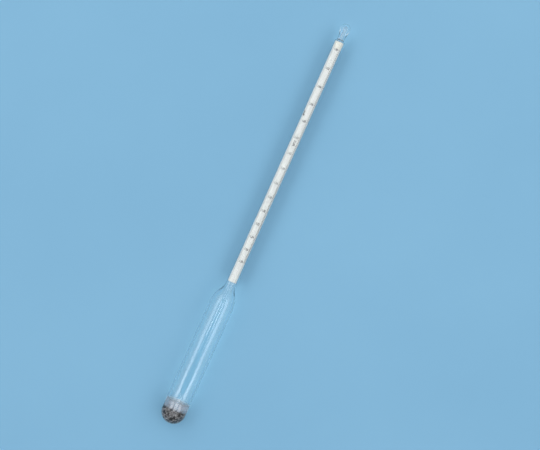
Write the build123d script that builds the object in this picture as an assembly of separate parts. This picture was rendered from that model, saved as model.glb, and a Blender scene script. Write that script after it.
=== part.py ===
from build123d import *
import math
import os

import numpy as np

# A glass hydrometer, lying on its side as it does on a bench.
#
# The float is a closed glass tube with lead shot in its rounded end, under a cast layer that holds the shot
# still. A thin stem is fused to the float's shoulder, holds a rolled paper scale, and ends in a narrow tip.
#
# Every outline below is drawn as (distance from the ballast end, radius) and turned about the glass axis.
# The finished pieces are then laid down: +X runs along the glass towards the tip, +Z is up, and the origin is
# on the surface that the float lies on, below the middle of the overall length.

# Driving dimensions, in millimetres. Every "_at" is a distance from the ballast end.
OVERALL_LENGTH = 300.0

FLOAT_RADIUS = 8.55
FLOAT_WALL = 1.4
FLOAT_BOTTOM_WALL = 1.4
SHOULDER_AT = 88.0
SHOULDER_LENGTH = 17.0
SHOULDER_ROUND = 20.0

STEM_RADIUS = 3.55
STEM_WALL = 0.4
STEM_END_AT = 286.5

WAIST_AT = 288.6
WAIST_RADIUS = 2.3
WAIST_ROUND = 1.0
BEAD_RADIUS = 3.45
TIP_BORE_RADIUS = 0.8
TIP_BORE_FROM = 289.3
TIP_BORE_ROUND = 1.2
TIP_BORE_END_AT = 297.7

PAPER_RADIUS = 3.05
PAPER_THICKNESS = 0.1
PAPER_START_AT = 106.0
PAPER_END_AT = 286.3
SEAM_WIDTH = 0.5
BAND_THICKNESS = 0.08
BAND_START_AT = 281.4

SHOT_RADIUS = 0.62
SHOT_CLEARANCE = 0.016
SHOT_COUNT = 540
SHOT_SEED = 7
SHOT_ROUNDS = 1500
SHOT_SWELL_ROUNDS = 200
SHOT_FIRST_SIZE = 0.8
SHOT_PUSH = 0.45
SHOT_TOP_AT = 10.1
SEAL_EDGE_AT = 15.6
SEAL_CROWN_AT = 16.9

# Worked out from the driving dimensions
SHOULDER_END_AT = SHOULDER_AT + SHOULDER_LENGTH
FLOAT_BORE = FLOAT_RADIUS - FLOAT_WALL
FLOAT_BORE_CENTRE = FLOAT_BOTTOM_WALL + FLOAT_BORE
STEM_BORE = STEM_RADIUS - STEM_WALL
BEAD_CENTRE = OVERALL_LENGTH - BEAD_RADIUS
LAID_DOWN = Location((-OVERALL_LENGTH / 2, 0, FLOAT_RADIUS))


def neck(start, end, first_round):
    """Two tangent arcs that lead from one radius in to a smaller one, level at both ends."""
    length = end[0] - start[0]
    drop = start[1] - end[1]
    both_rounds = (length**2 + drop**2) / (2 * drop)
    steepest = math.asin(length / both_rounds)
    turn = (
        start[0] + first_round * math.sin(steepest),
        start[1] - first_round * (1 - math.cos(steepest)),
    )
    first = TangentArc(start, turn, tangent=(1, 0))
    second = TangentArc(end, turn, tangent=(-1, 0))
    return [first, second]


def quarter_round(pole_at, centre_at, radius):
    """The quarter arc from a pole on the glass axis to its full radius."""
    side = math.copysign(radius, pole_at - centre_at)
    middle = (centre_at + side * math.sqrt(0.5), radius * math.sqrt(0.5))
    return ThreePointArc((pole_at, 0), middle, (centre_at, radius))


def turned(edges):
    """The solid that an outline makes when it turns about the glass axis."""
    return revolve(make_face(edges), Axis.X, 360)


def ring(start_at, end_at, outer_radius, thickness):
    """A straight tube."""
    outline = Polyline(
        (start_at, outer_radius - thickness),
        (start_at, outer_radius),
        (end_at, outer_radius),
        (end_at, outer_radius - thickness),
        close=True,
    )
    return turned(outline)


def make_float_body():
    """The wide glass tube: rounded ballast end, straight wall and shoulder."""
    outside = [
        quarter_round(0, FLOAT_RADIUS, FLOAT_RADIUS),
        Line((FLOAT_RADIUS, FLOAT_RADIUS), (SHOULDER_AT, FLOAT_RADIUS)),
        *neck((SHOULDER_AT, FLOAT_RADIUS), (SHOULDER_END_AT, STEM_RADIUS), SHOULDER_ROUND),
    ]
    inside = [
        quarter_round(FLOAT_BOTTOM_WALL, FLOAT_BORE_CENTRE, FLOAT_BORE),
        Line((FLOAT_BORE_CENTRE, FLOAT_BORE), (SHOULDER_AT, FLOAT_BORE)),
        *neck((SHOULDER_AT, FLOAT_BORE), (SHOULDER_END_AT, STEM_BORE), SHOULDER_ROUND - FLOAT_WALL),
    ]
    weld = Line((SHOULDER_END_AT, STEM_BORE), (SHOULDER_END_AT, STEM_RADIUS))
    on_axis = Line((0, 0), (FLOAT_BOTTOM_WALL, 0))
    return turned([*outside, weld, *inside, on_axis])


def make_stem_tube():
    """The thin glass tube, fused to the shoulder."""
    return ring(SHOULDER_END_AT, STEM_END_AT, STEM_RADIUS, STEM_WALL)


def make_stem_tip():
    """The thick-walled tip that closes the stem: a waist, a swelling flank and a round bead."""
    flank = Spline((WAIST_AT, WAIST_RADIUS), (BEAD_CENTRE, BEAD_RADIUS), tangents=[(1, 0), (1, 0)])
    bore_round_centre = TIP_BORE_END_AT - TIP_BORE_RADIUS
    outside = [
        *neck((STEM_END_AT, STEM_RADIUS), (WAIST_AT, WAIST_RADIUS), WAIST_ROUND),
        flank,
        quarter_round(OVERALL_LENGTH, BEAD_CENTRE, BEAD_RADIUS),
    ]
    inside = [
        *neck((STEM_END_AT, STEM_BORE), (TIP_BORE_FROM, TIP_BORE_RADIUS), TIP_BORE_ROUND),
        Line((TIP_BORE_FROM, TIP_BORE_RADIUS), (bore_round_centre, TIP_BORE_RADIUS)),
        quarter_round(TIP_BORE_END_AT, bore_round_centre, TIP_BORE_RADIUS),
    ]
    weld = Line((STEM_END_AT, STEM_BORE), (STEM_END_AT, STEM_RADIUS))
    on_axis = Line((TIP_BORE_END_AT, 0), (OVERALL_LENGTH, 0))
    return turned([*outside, weld, *inside, on_axis])


def make_scale_paper():
    """The paper strip, rolled into a tube whose edges stop just short of each other underneath."""
    length = PAPER_END_AT - PAPER_START_AT
    roll = ring(PAPER_START_AT, PAPER_END_AT, PAPER_RADIUS, PAPER_THICKNESS)
    seam = Box(length, SEAM_WIDTH, 2 * PAPER_THICKNESS + SEAM_WIDTH)
    middle = (PAPER_START_AT + PAPER_END_AT) / 2
    return roll - Pos(middle, 0, -PAPER_RADIUS) * seam


def make_stop_band():
    """The band wrapped round the top of the paper, which jams the roll in the stem."""
    return ring(BAND_START_AT, PAPER_END_AT, PAPER_RADIUS + BAND_THICKNESS, BAND_THICKNESS)


def inside_the_round_end(centres):
    """The same ball centres, with those that reach into the glass or the seal pulled back."""
    reach = FLOAT_BORE - SHOT_RADIUS - SHOT_CLEARANCE
    along = np.minimum(centres[:, 0], SHOT_TOP_AT - SHOT_RADIUS - SHOT_CLEARANCE)
    into_round = np.minimum(along - FLOAT_BORE_CENTRE, 0)
    radial = np.stack([into_round, centres[:, 1], centres[:, 2]], axis=1)
    distance = np.linalg.norm(radial, axis=1)
    pulled = radial * (reach / np.maximum(distance, reach))[:, None]
    pulled[:, 0] += np.maximum(along, FLOAT_BORE_CENTRE)
    return pulled


def scattered_shot():
    """Ball centres spread evenly through the half ball of the rounded end."""
    random_numbers = np.random.default_rng(SHOT_SEED)
    directions = random_numbers.normal(size=(SHOT_COUNT, 3))
    directions /= np.linalg.norm(directions, axis=1)[:, None]
    directions[:, 0] = -np.abs(directions[:, 0])
    distances = FLOAT_BORE * np.cbrt(random_numbers.uniform(size=(SHOT_COUNT, 1)))
    return inside_the_round_end(directions * distances + (FLOAT_BORE_CENTRE, 0, 0))


def packed_shot():
    """Scattered balls that swell to full size and push each other apart until none touch."""
    pitch = 2 * SHOT_RADIUS + SHOT_CLEARANCE
    centres = scattered_shot()
    not_itself = FLOAT_RADIUS * np.eye(SHOT_COUNT)
    for swell in np.minimum(np.arange(SHOT_ROUNDS) / SHOT_SWELL_ROUNDS, 1):
        reach = pitch * (SHOT_FIRST_SIZE + (1 - SHOT_FIRST_SIZE) * swell)
        apart = centres[:, None] - centres[None]
        distance = np.sqrt((apart**2).sum(axis=2)) + not_itself
        overlap = np.maximum(reach - distance, 0)
        if swell == 1 and overlap.max() < SHOT_CLEARANCE / 2:
            break
        push = apart * (overlap / distance)[:, :, None]
        centres = inside_the_round_end(centres + SHOT_PUSH * push.sum(axis=1))
    return centres


def make_lead_shot():
    """The ballast: separate lead balls that fill the rounded end."""
    return [Pos(*centre) * Sphere(SHOT_RADIUS) for centre in packed_shot().tolist()]


def make_ballast_seal():
    """The layer cast over the shot, flat below and slightly crowned on top."""
    crown_height = SEAL_CROWN_AT - SEAL_EDGE_AT
    crown_radius = (FLOAT_BORE**2 + crown_height**2) / (2 * crown_height)
    crown = RadiusArc((SEAL_CROWN_AT, 0), (SEAL_EDGE_AT, FLOAT_BORE), crown_radius)
    sides = Polyline((SEAL_EDGE_AT, FLOAT_BORE), (SHOT_TOP_AT, FLOAT_BORE), (SHOT_TOP_AT, 0), (SEAL_CROWN_AT, 0))
    return turned([crown, sides])


def write(node, shape):
    """Lay a finished piece down and write it to its own file."""
    solids = shape if isinstance(shape, list) else [shape]
    laid = [LAID_DOWN * solid for solid in solids]
    piece = laid[0] if len(laid) == 1 else Compound(children=laid)
    piece.label = node
    export_step(piece, f"parts/{node}.step")


os.makedirs("parts", exist_ok=True)
write("float_body", make_float_body())
write("stem_tube", make_stem_tube())
write("stem_tip", make_stem_tip())
write("scale_paper", make_scale_paper())
write("stop_band", make_stop_band())
write("lead_shot", make_lead_shot())
write("ballast_seal", make_ballast_seal())
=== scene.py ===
import math

import bmesh
import bpy
import numpy as np
from mathutils import Matrix, Vector


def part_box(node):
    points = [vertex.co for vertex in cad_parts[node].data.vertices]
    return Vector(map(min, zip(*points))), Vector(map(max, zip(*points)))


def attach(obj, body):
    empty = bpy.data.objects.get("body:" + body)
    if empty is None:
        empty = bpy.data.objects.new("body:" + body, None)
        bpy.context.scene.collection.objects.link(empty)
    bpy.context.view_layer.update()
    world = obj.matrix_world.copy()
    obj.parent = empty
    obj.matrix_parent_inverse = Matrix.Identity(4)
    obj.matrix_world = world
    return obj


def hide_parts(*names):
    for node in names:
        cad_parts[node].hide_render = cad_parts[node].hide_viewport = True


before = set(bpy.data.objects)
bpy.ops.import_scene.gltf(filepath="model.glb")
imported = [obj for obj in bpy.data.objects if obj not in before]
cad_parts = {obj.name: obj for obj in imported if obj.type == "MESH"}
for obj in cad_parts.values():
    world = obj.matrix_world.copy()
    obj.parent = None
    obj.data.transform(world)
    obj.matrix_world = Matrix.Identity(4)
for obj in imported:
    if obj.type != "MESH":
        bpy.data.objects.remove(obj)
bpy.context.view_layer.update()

# A glass hydrometer lying on its side: the glass axis runs along +X, the tip is at the +X end and the floor
# is at height 0. Sizes are in metres. "Along" is a distance from the ballast end, as it is in the CAD model.

scene = bpy.context.scene
MM = 0.001


# ---------------------------------------------------------------------------------------------------------
# Sizes: outside shapes come from the CAD boxes, and only what those can't show is named here.

class Size:
    """The CAD model's sizes, read from its nodes' boxes."""

    float_low, float_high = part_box("float_body")
    stem_low, stem_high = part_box("stem_tube")
    tip_low, tip_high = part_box("stem_tip")
    paper_low, paper_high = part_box("scale_paper")
    band_low, band_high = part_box("stop_band")
    seal_low, seal_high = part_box("ballast_seal")

    end_x = float_low.x
    axis_z = (float_low.z + float_high.z) / 2
    length = tip_high.x - float_low.x
    float_radius = (float_high.y - float_low.y) / 2
    stem_radius = (stem_high.y - stem_low.y) / 2
    shoulder_end = stem_low.x - float_low.x
    stem_end = stem_high.x - float_low.x
    bead_radius = (tip_high.y - tip_low.y) / 2
    paper_radius = (paper_high.y - paper_low.y) / 2
    paper_start = paper_low.x - float_low.x
    paper_end = paper_high.x - float_low.x
    band_radius = (band_high.y - band_low.y) / 2
    band_start = band_low.x - float_low.x
    float_bore = (seal_high.y - seal_low.y) / 2
    seal_start = seal_low.x - float_low.x
    seal_crown = seal_high.x - float_low.x


SHOULDER_START = 88.0 * MM
SHOULDER_ROUND = 20.0 * MM
STEM_WALL = 0.4 * MM
WAIST_AT = 288.6 * MM
WAIST_RADIUS = 2.3 * MM
WAIST_ROUND = 1.0 * MM
TIP_BORE_RADIUS = 0.8 * MM
TIP_BORE_FROM = 289.3 * MM
TIP_BORE_ROUND = 1.2 * MM
TIP_BORE_END = 297.7 * MM
SEAL_CROWN_HEIGHT = 1.3 * MM
SEAL_INSET = 0.06 * MM
PAPER_THICKNESS = 0.1 * MM

# How finely outlines are divided: round the axis, then along each part of an outline
SEGMENTS = 128
END_POINTS = 40
BODY_POINTS = 80
NECK_POINTS = 24
STEM_POINTS = 120
FLANK_POINTS = 20
BEAD_POINTS = 24
CROWN_POINTS = 16
SEAL_POINTS = 24
TIP_POINTS = 12
TIP_BORE_POINTS = 8
SEAL_SIDE_POINTS = 8
BAND_POINTS = 6
ON_AXIS = 1e-9


# ---------------------------------------------------------------------------------------------------------
# Mesh helpers

def place(along, radius, angle):
    """A point of the laid-down glass: angle 0 is straight up, and grows towards -Y."""
    return (
        Size.end_x + along,
        -radius * math.sin(angle),
        Size.axis_z + radius * math.cos(angle),
    )


def new_piece(name, vertices, faces, material, smooth=True):
    mesh = bpy.data.meshes.new(name)
    mesh.from_pydata(vertices, [], faces)
    mesh.update()
    piece = bpy.data.objects.new(name, mesh)
    scene.collection.objects.link(piece)
    mesh.materials.append(material)
    for polygon in mesh.polygons:
        polygon.use_smooth = smooth
    return piece


def turned(outline, segments=SEGMENTS):
    """Vertices and faces of an outline of (along, radius) points turned about the glass axis.

    An outline that starts and ends on the axis makes a closed shell. Its faces look outward when the outline
    runs towards the tip.
    """
    vertices, rings = [], []
    for along, radius in outline:
        if radius < ON_AXIS:
            rings.append([len(vertices)] * segments)
            vertices.append(place(along, 0, 0))
            continue
        rings.append(list(range(len(vertices), len(vertices) + segments)))
        vertices += [place(along, radius, 2 * math.pi * i / segments) for i in range(segments)]
    faces = []
    for low, high in zip(rings, rings[1:]):
        for i in range(segments):
            j = (i + 1) % segments
            corners = [low[i], low[j], high[j], high[i]]
            faces.append(tuple(dict.fromkeys(corners)))
    return vertices, faces


def joined(*parts):
    """Several (vertices, faces) as one."""
    vertices, faces = [], []
    for some_vertices, some_faces in parts:
        start = len(vertices)
        vertices += some_vertices
        faces += [tuple(start + i for i in face) for face in some_faces]
    return vertices, faces


def flipped(part):
    vertices, faces = part
    return vertices, [tuple(reversed(face)) for face in faces]


def arc(centre, radius, start, end, count):
    """Points of an arc. Angles are in radians, from the +along direction."""
    return [
        (centre[0] + radius * math.cos(a), centre[1] + radius * math.sin(a))
        for a in np.linspace(start, end, count)
    ]


def neck(start, end, first_round, count=NECK_POINTS):
    """Two tangent arcs that lead from one radius in to a smaller one, level at both ends."""
    length, drop = end[0] - start[0], start[1] - end[1]
    both_rounds = (length**2 + drop**2) / (2 * drop)
    second_round = both_rounds - first_round
    steepest = math.asin(length / both_rounds)
    up, down = math.pi / 2, -math.pi / 2
    first = arc((start[0], start[1] - first_round), first_round, up, up - steepest, count)
    second = arc((end[0], end[1] + second_round), second_round, down - steepest, down, count)
    return first + second[1:]


def level(start, end, radius, count):
    """Points of a straight run, without its two ends."""
    return [(along, radius) for along in np.linspace(start, end, count)][1:-1]


# ---------------------------------------------------------------------------------------------------------
# Shader helpers

def new_material(name):
    material = bpy.data.materials.new(name)
    material.use_nodes = True
    tree = material.node_tree
    return material, tree.nodes, tree.links, tree.nodes["Principled BSDF"]


def coordinates(nodes, links, scale=(1, 1, 1)):
    """Position in metres, stretched by a scale for each axis."""
    where = nodes.new("ShaderNodeTexCoord")
    mapping = nodes.new("ShaderNodeMapping")
    mapping.inputs["Scale"].default_value = scale
    links.new(where.outputs["Object"], mapping.inputs["Vector"])
    return mapping.outputs["Vector"]


def noise(nodes, links, vector, scale, detail=3.0, roughness=0.5):
    texture = nodes.new("ShaderNodeTexNoise")
    texture.inputs["Scale"].default_value = scale
    texture.inputs["Detail"].default_value = detail
    texture.inputs["Roughness"].default_value = roughness
    links.new(vector, texture.inputs["Vector"])
    return texture.outputs["Fac"]


def ramp(nodes, links, value, stops):
    """A colour ramp. stops are (position, colour)."""
    node = nodes.new("ShaderNodeValToRGB")
    points = node.color_ramp.elements
    while len(points) < len(stops):
        points.new(0.5)
    for point, (position, colour) in zip(points, stops):
        point.position = position
        point.color = (*colour, 1)
    links.new(value, node.inputs["Fac"])
    return node.outputs["Color"]


def ranged(nodes, links, value, low, high):
    """A value from 0 to 1, moved to run from low to high."""
    node = nodes.new("ShaderNodeMapRange")
    node.inputs["To Min"].default_value = low
    node.inputs["To Max"].default_value = high
    links.new(value, node.inputs["Value"])
    return node.outputs["Result"]


def bump(nodes, links, shader, height, strength, distance):
    node = nodes.new("ShaderNodeBump")
    node.inputs["Strength"].default_value = strength
    node.inputs["Distance"].default_value = distance
    links.new(height, node.inputs["Height"])
    links.new(node.outputs["Normal"], shader.inputs["Normal"])


def calculated(nodes, links, operation, first, second):
    """The result of a Math node. Each side is a socket or a number."""
    node = nodes.new("ShaderNodeMath")
    node.operation = operation
    for socket, value in zip(node.inputs, (first, second)):
        if isinstance(value, (int, float)):
            socket.default_value = value
        else:
            links.new(value, socket)
    return node.outputs["Value"]


def cylinder_coordinates(nodes, links):
    """The distance from the ballast end and the distance from the glass axis."""
    where = nodes.new("ShaderNodeTexCoord")
    split = nodes.new("ShaderNodeSeparateXYZ")
    links.new(where.outputs["Object"], split.inputs["Vector"])
    along = calculated(nodes, links, "SUBTRACT", split.outputs["X"], Size.end_x)
    up = calculated(nodes, links, "SUBTRACT", split.outputs["Z"], Size.axis_z)
    across_squared = calculated(nodes, links, "MULTIPLY", split.outputs["Y"], split.outputs["Y"])
    up_squared = calculated(nodes, links, "MULTIPLY", up, up)
    radius_squared = calculated(nodes, links, "ADD", across_squared, up_squared)
    return along, calculated(nodes, links, "SQRT", radius_squared, 0.0)


def zone(nodes, links, start, end, reach):
    """1 near the glass axis between two distances from the ballast end, and 0 elsewhere."""
    along, radius = cylinder_coordinates(nodes, links)
    past_start = calculated(nodes, links, "GREATER_THAN", along, start)
    before_end = calculated(nodes, links, "LESS_THAN", along, end)
    within = calculated(nodes, links, "LESS_THAN", radius, reach)
    between = calculated(nodes, links, "MULTIPLY", past_start, before_end)
    return calculated(nodes, links, "MULTIPLY", between, within)


# ---------------------------------------------------------------------------------------------------------
# Materials

GLASS_IOR = 1.5
GLASS_STREAKS = (8, 90, 90)
GLASS_TINTS = [(0.3, (0.975, 0.99, 0.992)), (0.7, (0.995, 1.0, 1.0))]
GLASS_SHADOW = (0.9, 0.94, 0.95, 1)
GLASS_ROUGHNESS = 0.015
TIP_BORE_ROUGHNESS = 0.5
SEAL_FACE_ROUGHNESS = 0.9
ZONE_MARGIN = 0.1 * MM
SEAL_MARGIN = 0.05 * MM


def glass_material():
    """Clear drawn glass: faint lines along the tube, and shadows that let most light through.

    The tip's fire-closed bore is frosted, and the cast seal's crown is cloudy.
    """
    material, nodes, links, shader = new_material("drawn_glass")
    shader.inputs["Transmission Weight"].default_value = 1.0
    shader.inputs["IOR"].default_value = GLASS_IOR
    drawn = noise(nodes, links, coordinates(nodes, links, GLASS_STREAKS), 1.0, 1.0)
    links.new(ramp(nodes, links, drawn, GLASS_TINTS), shader.inputs["Base Color"])

    in_tip_bore = zone(
        nodes, links, Size.stem_end, TIP_BORE_END + ZONE_MARGIN, WAIST_RADIUS - ZONE_MARGIN
    )
    at_seal = zone(
        nodes,
        links,
        Size.seal_start - SEAL_MARGIN,
        Size.seal_crown + ZONE_MARGIN,
        Size.float_bore + SEAL_MARGIN,
    )
    frosted = calculated(nodes, links, "MULTIPLY", in_tip_bore, TIP_BORE_ROUGHNESS)
    cloudy = calculated(nodes, links, "MULTIPLY", at_seal, SEAL_FACE_ROUGHNESS)
    either = calculated(nodes, links, "ADD", frosted, cloudy)
    rough = calculated(nodes, links, "ADD", either, ranged(nodes, links, drawn, 0.0, GLASS_ROUGHNESS))
    links.new(rough, shader.inputs["Roughness"])
    bump(nodes, links, shader, drawn, 0.02, 0.1 * MM)

    clear = nodes.new("ShaderNodeBsdfTransparent")
    clear.inputs["Color"].default_value = GLASS_SHADOW
    path = nodes.new("ShaderNodeLightPath")
    mix = nodes.new("ShaderNodeMixShader")
    links.new(path.outputs["Is Shadow Ray"], mix.inputs[0])
    links.new(shader.outputs["BSDF"], mix.inputs[1])
    links.new(clear.outputs["BSDF"], mix.inputs[2])
    links.new(mix.outputs["Shader"], nodes["Material Output"].inputs["Surface"])
    return material


def paper_material(name, colour, darker):
    """Coated paper with a fine fibre mottle."""
    material, nodes, links, shader = new_material(name)
    where = coordinates(nodes, links)
    mottle = noise(nodes, links, where, 900.0, 4.0, 0.6)
    links.new(ramp(nodes, links, mottle, [(0.3, darker), (0.7, colour)]), shader.inputs["Base Color"])
    shader.inputs["Roughness"].default_value = 0.7
    bump(nodes, links, shader, noise(nodes, links, where, 4000.0), 0.15, 0.03 * MM)
    return material


def ink_material(name, colour):
    """Printing ink, a little uneven where it soaked in."""
    material, nodes, links, shader = new_material(name)
    soaked = noise(nodes, links, coordinates(nodes, links), 3000.0, 2.0)
    lighter = tuple(min(1.0, c * 1.6 + 0.02) for c in colour)
    links.new(ramp(nodes, links, soaked, [(0.3, colour), (0.8, lighter)]), shader.inputs["Base Color"])
    shader.inputs["Roughness"].default_value = 0.6
    return material


# The tint of a ball is drawn evenly along this ramp, so about a third of the balls are dark. The middle of
# the ramp is the shot's own grey; the near-white balls are painted glints and the near-black ones painted
# shade between the balls.
BALL_GLINT_AND_GAP_TINTS = [
    (0.0, (0.045, 0.04, 0.038)),
    (0.28, (0.12, 0.108, 0.103)),
    (0.38, (0.37, 0.35, 0.35)),
    (1.0, (0.77, 0.745, 0.745)),
]
BALL_TARNISH = [(0.42, (0.36, 0.32, 0.29)), (0.56, (1, 1, 1))]


def lead_material():
    """Dull grey shot, tarnished in spots, each ball lighter or darker than the next: that spread is painted
    glints and painted shade between the balls.
    """
    material, nodes, links, shader = new_material("lead")
    geometry = nodes.new("ShaderNodeNewGeometry")
    # each ball's random tint: painted glints on the light balls, painted shade between the balls on the dark
    # ones
    each = ramp(nodes, links, geometry.outputs["Random Per Island"], BALL_GLINT_AND_GAP_TINTS)
    dull = noise(nodes, links, coordinates(nodes, links), 3200.0)
    mix = nodes.new("ShaderNodeMix")
    mix.data_type = "RGBA"
    mix.blend_type = "MULTIPLY"
    mix.inputs["Factor"].default_value = 1.0
    links.new(each, mix.inputs[6])
    links.new(ramp(nodes, links, dull, BALL_TARNISH), mix.inputs[7])
    links.new(mix.outputs[2], shader.inputs["Base Color"])
    shader.inputs["Metallic"].default_value = 0.3
    links.new(ranged(nodes, links, dull, 0.1, 0.25), shader.inputs["Roughness"])
    bump(nodes, links, shader, dull, 0.3, 0.03 * MM)
    return material


def seal_material():
    """Cloudy cast resin with a pearly skin, which lets part of the light straight through."""
    material, nodes, links, shader = new_material("cast_resin")
    cloud = noise(nodes, links, coordinates(nodes, links), 300.0)
    colours = [(0.3, (0.52, 0.51, 0.56)), (0.7, (0.68, 0.66, 0.69))]
    links.new(ramp(nodes, links, cloud, colours), shader.inputs["Base Color"])
    links.new(ranged(nodes, links, cloud, 0.2, 0.5), shader.inputs["Alpha"])
    shader.inputs["Metallic"].default_value = 0.5
    shader.inputs["Roughness"].default_value = 0.28
    return material


def floor_material():
    """Pale matt card with a very faint tooth."""
    material, nodes, links, shader = new_material("pale_card")
    where = coordinates(nodes, links)
    mottle = noise(nodes, links, where, 6.0, 4.0)
    blues = [(0.3, (0.26, 0.52, 0.72)), (0.7, (0.28, 0.55, 0.75))]
    links.new(ramp(nodes, links, mottle, blues), shader.inputs["Base Color"])
    shader.inputs["Roughness"].default_value = 0.85
    bump(nodes, links, shader, noise(nodes, links, where, 900.0), 0.1, 0.1 * MM)
    return material


# ---------------------------------------------------------------------------------------------------------
# Pieces

WAVE_COUNT = 14
WAVE_DEPTH = 0.02 * MM
WAVE_SEED = 3


def glass_wobble(vertices):
    """Hand-drawn glass: the surface dips a little, never above its true outline."""
    random_numbers = np.random.default_rng(WAVE_SEED)
    # each wave: how fast it turns along the glass, how many times round it, and where it starts
    waves = [
        (
            random_numbers.uniform(15, 70),
            random_numbers.integers(0, 3),
            random_numbers.uniform(0, 2 * math.pi),
        )
        for _ in range(WAVE_COUNT)
    ]
    moved = []
    for x, y, z in vertices:
        up = z - Size.axis_z
        radius = math.hypot(y, up)
        if radius < ON_AXIS:
            moved.append((x, y, z))
            continue
        angle = math.atan2(y, up)
        wave = sum(math.sin(k * x + n * angle + phase) for k, n, phase in waves) / math.sqrt(WAVE_COUNT)
        share = 1 - WAVE_DEPTH / radius * min(1.0, max(0.0, 0.5 + 0.35 * wave))
        moved.append((x, y * share, Size.axis_z + up * share))
    return moved


def glass_outside():
    """The outline of the glass, from the ballast end to the bead at the tip."""
    radius = Size.float_radius
    bead_centre = Size.length - Size.bead_radius

    def flank(share):
        """The tip's flank swells from its waist to its bead, level at both ends."""
        along = WAIST_AT + (bead_centre - WAIST_AT) * share
        eased = share * share * (3 - 2 * share)
        return along, WAIST_RADIUS + (Size.bead_radius - WAIST_RADIUS) * eased

    return [
        (0.0, 0.0),
        *arc((radius, 0), radius, math.pi, math.pi / 2, END_POINTS)[1:],
        *level(radius, SHOULDER_START, radius, BODY_POINTS),
        *neck((SHOULDER_START, radius), (Size.shoulder_end, Size.stem_radius), SHOULDER_ROUND),
        *level(Size.shoulder_end, Size.stem_end, Size.stem_radius, STEM_POINTS),
        *neck((Size.stem_end, Size.stem_radius), (WAIST_AT, WAIST_RADIUS), WAIST_ROUND, TIP_POINTS),
        *[flank(share) for share in np.linspace(0, 1, FLANK_POINTS)[1:-1]],
        *arc((bead_centre, 0), Size.bead_radius, math.pi / 2, 0, BEAD_POINTS)[:-1],
        (Size.length, 0.0),
    ]


def space_above_seal():
    """The outline of the hollow, from the seal's crown to the closed end of the tip's bore."""
    bore = Size.float_bore
    wall = Size.float_radius - bore
    stem_bore = Size.stem_radius - STEM_WALL
    tip_bore = (TIP_BORE_FROM, TIP_BORE_RADIUS)
    bore_centre = TIP_BORE_END - TIP_BORE_RADIUS
    seal_edge = Size.seal_crown - SEAL_CROWN_HEIGHT
    crown_radius = (bore**2 + SEAL_CROWN_HEIGHT**2) / (2 * SEAL_CROWN_HEIGHT)
    crown_centre = (Size.seal_crown - crown_radius, 0)
    return [
        (Size.seal_crown, 0.0),
        *arc(crown_centre, crown_radius, 0, math.asin(bore / crown_radius), CROWN_POINTS)[1:],
        *level(seal_edge, SHOULDER_START, bore, BODY_POINTS),
        *neck((SHOULDER_START, bore), (Size.shoulder_end, stem_bore), SHOULDER_ROUND - wall),
        *level(Size.shoulder_end, Size.stem_end, stem_bore, STEM_POINTS),
        *neck((Size.stem_end, stem_bore), tip_bore, TIP_BORE_ROUND, TIP_POINTS),
        *level(TIP_BORE_FROM, bore_centre, TIP_BORE_RADIUS, TIP_BORE_POINTS),
        *arc((bore_centre, 0), TIP_BORE_RADIUS, math.pi / 2, 0, TIP_POINTS)[:-1],
        (TIP_BORE_END, 0.0),
    ]


def glass_envelope():
    """The whole glass as one fused piece: its outside, and the space above the seal.

    The cast seal has the glass's own refraction. It has run down between the shot and wets the bore, so there
    is no surface between it and the glass, and the shot looks as wide as the glass itself.
    """
    vertices, faces = turned(glass_outside())
    outside = (glass_wobble(vertices), faces)
    vertices, faces = joined(outside, flipped(turned(space_above_seal())))
    piece = new_piece("glass_envelope", vertices, faces, glass_material())
    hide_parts("float_body", "stem_tube", "stem_tip")
    return piece


def shot_centres():
    """The middle of each ball of the CAD shot and their radius, from the connected parts of its mesh."""
    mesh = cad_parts["lead_shot"].data
    points = np.zeros(len(mesh.vertices) * 3)
    mesh.vertices.foreach_get("co", points)
    points = points.reshape(-1, 3)
    edges = np.zeros(len(mesh.edges) * 2, int)
    mesh.edges.foreach_get("vertices", edges)
    edges = edges.reshape(-1, 2)
    label = np.arange(len(points))
    while True:
        lower = np.minimum(label[edges[:, 0]], label[edges[:, 1]])
        before = label.copy()
        np.minimum.at(label, edges[:, 0], lower)
        np.minimum.at(label, edges[:, 1], lower)
        label = label[label]
        if (label == before).all():
            break
    centres, radii = [], []
    for each in np.unique(label):
        ball = points[label == each]
        centres.append((ball.min(0) + ball.max(0)) / 2)
        radii.append((ball.max(0) - ball.min(0)).max() / 2)
    return centres, max(radii)


def shot_balls():
    """Every ball of the ballast, smooth, at its CAD place."""
    centres, radius = shot_centres()
    ball = bmesh.new()
    bmesh.ops.create_icosphere(ball, subdivisions=2, radius=radius)
    shape = np.array([v.co for v in ball.verts])
    ball.verts.index_update()
    ball_faces = [tuple(v.index for v in f.verts) for f in ball.faces]
    ball.free()
    parts = [([tuple(p) for p in shape + centre], ball_faces) for centre in centres]
    vertices, faces = joined(*parts)
    piece = new_piece("shot_balls", vertices, faces, lead_material())
    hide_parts("lead_shot")
    return piece


def seal_layer():
    """The layer cast over the shot, with a low crown, just clear of the glass so that no faces coincide."""
    radius = Size.float_bore - SEAL_INSET
    base, top = Size.seal_start + SEAL_INSET, Size.seal_crown - SEAL_INSET
    edge = top - SEAL_CROWN_HEIGHT
    crown_radius = (radius**2 + SEAL_CROWN_HEIGHT**2) / (2 * SEAL_CROWN_HEIGHT)
    half_angle = math.asin(radius / crown_radius)
    outline = [
        (base, 0.0),
        *[(base, radius * share) for share in (0.3, 0.6, 0.9)],
        (base, radius),
        *level(base, edge, radius, SEAL_SIDE_POINTS),
        *arc((top - crown_radius, 0), crown_radius, half_angle, 0, SEAL_POINTS)[:-1],
        (top, 0.0),
    ]
    vertices, faces = turned(outline)
    piece = new_piece("seal_layer", vertices, faces, seal_material())
    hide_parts("ballast_seal")
    return piece


PAPER_OVERLAP = 0.35
PAPER_STEPS = 140
PAPER_STATIONS = 60
PAPER_SINK = 0.81 * PAPER_THICKNESS


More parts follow.
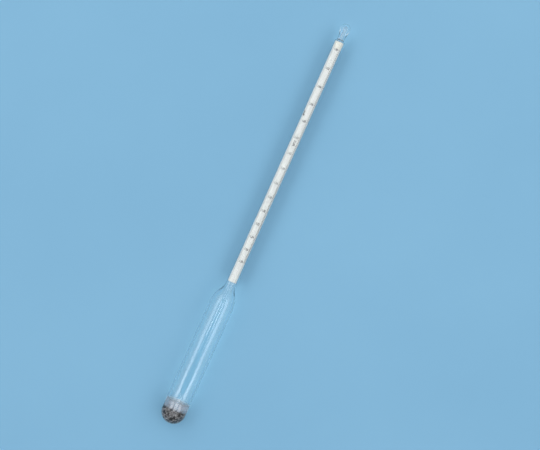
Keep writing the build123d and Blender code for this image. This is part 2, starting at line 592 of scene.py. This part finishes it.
def scale_roll():
    """The paper, rolled once round with its edges lapped underneath."""
    turn = 2 * math.pi + PAPER_OVERLAP
    vertices = []
    for along in np.linspace(Size.paper_start, Size.paper_end, PAPER_STATIONS):
        for depth in (0, PAPER_THICKNESS):
            for i in range(PAPER_STEPS + 1):
                turned_so_far = turn * i / PAPER_STEPS
                angle = math.pi - PAPER_OVERLAP / 2 + turned_so_far
                # the second half of the turn sinks a little, so that the lapped faces don't coincide
                sink = PAPER_SINK * max(0.0, turned_so_far / (2 * math.pi) - 0.5)
                vertices.append(place(along, Size.paper_radius - sink - depth, angle))

    def index(station, side, step):
        return (station * 2 + side) * (PAPER_STEPS + 1) + step

    faces = []
    for s in range(PAPER_STATIONS - 1):
        t = s + 1
        for i in range(PAPER_STEPS):
            j = i + 1
            faces.append((index(s, 0, i), index(s, 0, j), index(t, 0, j), index(t, 0, i)))
            faces.append((index(s, 1, i), index(t, 1, i), index(t, 1, j), index(s, 1, j)))
        for i in (0, PAPER_STEPS):
            faces.append((index(s, 0, i), index(t, 0, i), index(t, 1, i), index(s, 1, i)))
    for s in (0, PAPER_STATIONS - 1):
        for i in range(PAPER_STEPS):
            j = i + 1
            faces.append((index(s, 0, i), index(s, 1, i), index(s, 1, j), index(s, 0, j)))
    paper = paper_material("scale_paper", (0.82, 0.80, 0.76), (0.74, 0.72, 0.68))
    piece = new_piece("scale_roll", vertices, faces, paper, smooth=False)
    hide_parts("scale_paper")
    return piece


# Whatever lies on the paper starts this far above it, so that no faces coincide.
PAPER_GAP = 0.002 * MM


def top_band():
    """The white band round the top of the paper."""
    inner, outer = Size.paper_radius + PAPER_GAP, Size.band_radius
    outline = [
        (Size.band_start, inner),
        (Size.band_start, outer),
        *level(Size.band_start, Size.paper_end, outer, BAND_POINTS),
        (Size.paper_end, outer),
        (Size.paper_end, inner),
        (Size.band_start, inner),
    ]
    vertices, faces = turned(outline)
    white = paper_material("band_paper", (0.84, 0.8, 0.71), (0.78, 0.74, 0.66))
    piece = new_piece("top_band", vertices, faces, white, smooth=False)
    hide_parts("stop_band")
    return piece


# The scale. A float of volume V up to its top line, on a stem of section A, sinks less in a denser liquid, by
# (V / A) (1 - top / density), so the lines crowd together towards the float.
TOP_DENSITY = 1.000
BOTTOM_DENSITY = 1.280
NUMBER_STEP = 0.020
LINE_STEP = 0.002
LONG_EVERY = 5
TOP_LINE_AT = 280.6 * MM
FLOAT_LAW = 727.4 * MM
PRINT_LIFT = 0.012 * MM
PRINT_THICKNESS = 0.012 * MM
BAR_STEP = 0.08

# Each kind of line: its thickness, and the angles round the stem at which it starts and ends
NUMBERED_LINE = (0.28 * MM, 0.58, 1.20)
LONG_LINE = (0.26 * MM, 0.50, 1.10)
SHORT_LINE = (0.25 * MM, 0.55, 0.98)

NUMBER_SIZE = 2.3 * MM
NUMBER_ANGLE = -0.06
NUMBER_NARROWED = 0.72
WORD_SIZE = 2.0 * MM
WORD_BOLDNESS = 0.07 * MM
WORD_PITCH = 0.25 * MM
UNIT_AT = 232.0 * MM
UNIT_ANGLE = -0.85
TEMPERATURE_AT = 210.2 * MM
TEMPERATURE_ANGLE = 0.05


def line_at(density):
    return TOP_LINE_AT - FLOAT_LAW * (1 - TOP_DENSITY / density)


def printed_bar(along, thickness, start_angle, end_angle):
    """A printed line across the paper, from one angle to another."""
    steps = max(2, math.ceil(abs(end_angle - start_angle) / BAR_STEP))
    low, high = Size.paper_radius + PAPER_GAP, Size.paper_radius + PRINT_LIFT
    vertices, faces = [], []
    for angle in np.linspace(start_angle, end_angle, steps + 1):
        for shift, radius in ((-0.5, low), (-0.5, high), (0.5, high), (0.5, low)):
            vertices.append(place(along + shift * thickness, radius, angle))
    for i in range(steps):
        a, b = 4 * i, 4 * i + 4
        for c in range(4):
            d = (c + 1) % 4
            faces.append((a + c, b + c, b + d, a + d))
    faces.append((3, 2, 1, 0))
    last = 4 * steps
    faces.append((last, last + 1, last + 2, last + 3))
    return vertices, faces


def scale_lines():
    """The graduations: short, longer at every fifth and longest at each number."""
    parts = []
    count = round((BOTTOM_DENSITY - TOP_DENSITY) / LINE_STEP)
    for i in range(count + 1):
        if i % (2 * LONG_EVERY) == 0:
            kind = NUMBERED_LINE
        elif i % LONG_EVERY == 0:
            kind = LONG_LINE
        else:
            kind = SHORT_LINE
        parts.append(printed_bar(line_at(TOP_DENSITY + i * LINE_STEP), *kind))
    vertices, faces = joined(*parts)
    ink = ink_material("line_ink", (0.05, 0.035, 0.03))
    return new_piece("scale_lines", vertices, faces, ink, smooth=False)


def flat_text(words, size):
    """A closed, thin, flat mesh of some words, centred on its own origin."""
    curve = bpy.data.curves.new("words", "FONT")
    curve.body = words
    curve.size = size
    curve.align_x = "CENTER"
    curve.align_y = "CENTER"
    curve.extrude = PRINT_THICKNESS / 2
    curve.offset = WORD_BOLDNESS
    curve.resolution_u = 3
    holder = bpy.data.objects.new("words", curve)
    scene.collection.objects.link(holder)
    bpy.context.view_layer.update()
    evaluated = holder.evaluated_get(bpy.context.evaluated_depsgraph_get())
    mesh = bpy.data.meshes.new_from_object(evaluated)
    bpy.data.objects.remove(holder)
    return mesh


def printed_words(words, size, along, angle, turned_by=0.0, narrowed=1.0):
    """Words laid on the paper. They read across the stem with the tip up, unless they are turned."""
    flat = bmesh.new()
    flat.from_mesh(flat_text(words, size))
    turn = Matrix.Rotation(turned_by, 3, "Z")
    bmesh.ops.scale(flat, verts=flat.verts, vec=(narrowed, 1, 1))
    bmesh.ops.rotate(flat, verts=flat.verts, cent=(0, 0, 0), matrix=turn)
    bmesh.ops.remove_doubles(flat, verts=flat.verts, dist=1e-7)
    across = max(abs(v.co.x) for v in flat.verts)
    # cut into narrow strips, so that the words can follow the round paper
    for cut in np.arange(-across, across, WORD_PITCH):
        everything = flat.verts[:] + flat.edges[:] + flat.faces[:]
        bmesh.ops.bisect_plane(flat, geom=everything, plane_co=(cut, 0, 0), plane_no=(1, 0, 0))
    base = Size.paper_radius + PRINT_LIFT
    flat.verts.index_update()
    vertices = [
        place(along + v.co.y, base + v.co.z, angle + v.co.x / Size.paper_radius) for v in flat.verts
    ]
    faces = [tuple(v.index for v in f.verts) for f in flat.faces]
    flat.free()
    return vertices, faces


def scale_numbers():
    """The number beside each long line, and the units."""
    parts = []
    count = round((BOTTOM_DENSITY - TOP_DENSITY) / NUMBER_STEP)
    for i in range(count + 1):
        density = TOP_DENSITY + i * NUMBER_STEP
        number = printed_words(
            f"{density:.2f}", NUMBER_SIZE, line_at(density), NUMBER_ANGLE, narrowed=NUMBER_NARROWED
        )
        parts.append(number)
    along_stem = math.pi / 2
    parts.append(printed_words("g/ml", WORD_SIZE, UNIT_AT, UNIT_ANGLE, along_stem))
    parts.append(printed_words("20°C", WORD_SIZE, TEMPERATURE_AT, TEMPERATURE_ANGLE, along_stem))
    vertices, faces = joined(*parts)
    ink = ink_material("number_ink", (0.03, 0.022, 0.02))
    return new_piece("scale_numbers", vertices, faces, ink, smooth=False)


# ---------------------------------------------------------------------------------------------------------
# The studio

FRAME_WIDTH = 370.9 * MM
ROLL = math.radians(24.18)
LENS = 100.0
SENSOR = 36.0
ASIDE = 8.15 * MM
BELOW = 1.05 * MM


def camera():
    """Straight above the hydrometer, rolled so that its tip points up and to the right."""
    data = bpy.data.cameras.new("camera")
    data.lens = LENS
    data.sensor_width = SENSOR
    data.clip_start = 0.01
    item = bpy.data.objects.new("camera", data)
    scene.collection.objects.link(item)
    picture_up = Vector((math.cos(ROLL), math.sin(ROLL), 0))
    picture_right = Vector((math.sin(ROLL), -math.cos(ROLL), 0))
    distance = LENS / SENSOR * FRAME_WIDTH
    middle = Vector((Size.end_x + Size.length / 2, 0, Size.axis_z))
    item.location = middle + picture_right * ASIDE - picture_up * BELOW + Vector((0, 0, distance))
    turn = Matrix((picture_right, picture_up, Vector((0, 0, 1)))).transposed()
    item.rotation_euler = turn.to_euler()
    scene.camera = item


FLOOR_REACH = 4
LIGHT_HEIGHT = 1.25
# A grey card that hangs over the float and its end of the floor, which the glass mirrors as a dark middle
FLAG_HEIGHT = 1.21
FLAG_OUTLINE = [
    (-0.12, 0),
    (-0.20, 0.33),
    (-0.30, 0.5),
    (-1.3, 0.5),
    (-1.3, -0.5),
    (-0.30, -0.5),
    (-0.20, -0.33),
]
FLAG_COLOUR = (0.5, 0.5, 0.52, 1)
# A narrow light just below the card, which the seal's part of the glass mirrors as one short streak
STRIP_LOW = (-0.306, -0.34)
STRIP_HIGH = (-0.286, 0.26)
STRIP_HEIGHT = FLAG_HEIGHT - 0.01
STRIP_RADIANCE = 4.5
# Each pair of panels: its name, its reach in x, its nearer and farther edges to each side, and its brightness
PANELS = [
    ("inner", (-0.30, 1.55), (0.22, 0.38), 2.4),
    ("outer", (-0.30, 1.55), (0.80, 2.1), 1.2),
    ("front", (-1.1, -0.30), (0.60, 1.8), 1.8),
]
# Each side: its name, its direction in y and its share of the brightness
SIDES = [("left", 1, 1.0), ("right", -1, 0.9)]
WORLD_COLOUR = (0.75, 0.85, 0.95, 1)
WORLD_STRENGTH = 0.5
# Light that enters a glass wall nearly level with it needs many reflections to find its way out.
BOUNCES = 32


def light_panel(name, low, high, radiance, height=LIGHT_HEIGHT):
    """A flat soft light that faces straight down, between two corners (x, y) of its plane."""
    data = bpy.data.lights.new(name, "AREA")
    data.shape = "RECTANGLE"
    data.size, data.size_y = high[0] - low[0], high[1] - low[1]
    data.energy = radiance * math.pi * data.size * data.size_y
    item = bpy.data.objects.new(name, data)
    scene.collection.objects.link(item)
    item.location = ((low[0] + high[0]) / 2, (low[1] + high[1]) / 2, height)


def flat_piece(name, outline, height, material):
    """One level face."""
    vertices = [(x, y, height) for x, y in outline]
    return new_piece(name, vertices, [tuple(range(len(outline)))], material, smooth=False)


def studio():
    """The floor, the card, the lights and the pale world round them."""
    reach = FLOOR_REACH
    corners = [(-reach, -reach), (reach, -reach), (reach, reach), (-reach, reach)]
    floor = flat_piece("floor", corners, 0, floor_material())
    card, _, _, shader = new_material("grey_card")
    shader.inputs["Base Color"].default_value = FLAG_COLOUR
    flag = flat_piece("flag", FLAG_OUTLINE, FLAG_HEIGHT, card)

    for side_name, side, share in SIDES:
        for part, (x_low, x_high), (near, far), radiance in PANELS:
            y_low, y_high = sorted((side * near, side * far))
            light_panel(f"{part}_{side_name}", (x_low, y_low), (x_high, y_high), radiance * share)
    light_panel("strip", STRIP_LOW, STRIP_HIGH, STRIP_RADIANCE, STRIP_HEIGHT)

    world = bpy.data.worlds.new("studio")
    world.use_nodes = True
    background = world.node_tree.nodes["Background"]
    background.inputs["Color"].default_value = WORLD_COLOUR
    background.inputs["Strength"].default_value = WORLD_STRENGTH
    scene.world = world
    scene.view_settings.view_transform = "Standard"
    scene.cycles.max_bounces = BOUNCES
    scene.cycles.transmission_bounces = BOUNCES


camera()
studio()
pieces = [
    glass_envelope(),
    shot_balls(),
    seal_layer(),
    scale_roll(),
    top_band(),
    scale_lines(),
    scale_numbers(),
]
for piece in pieces:
    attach(piece, "root")
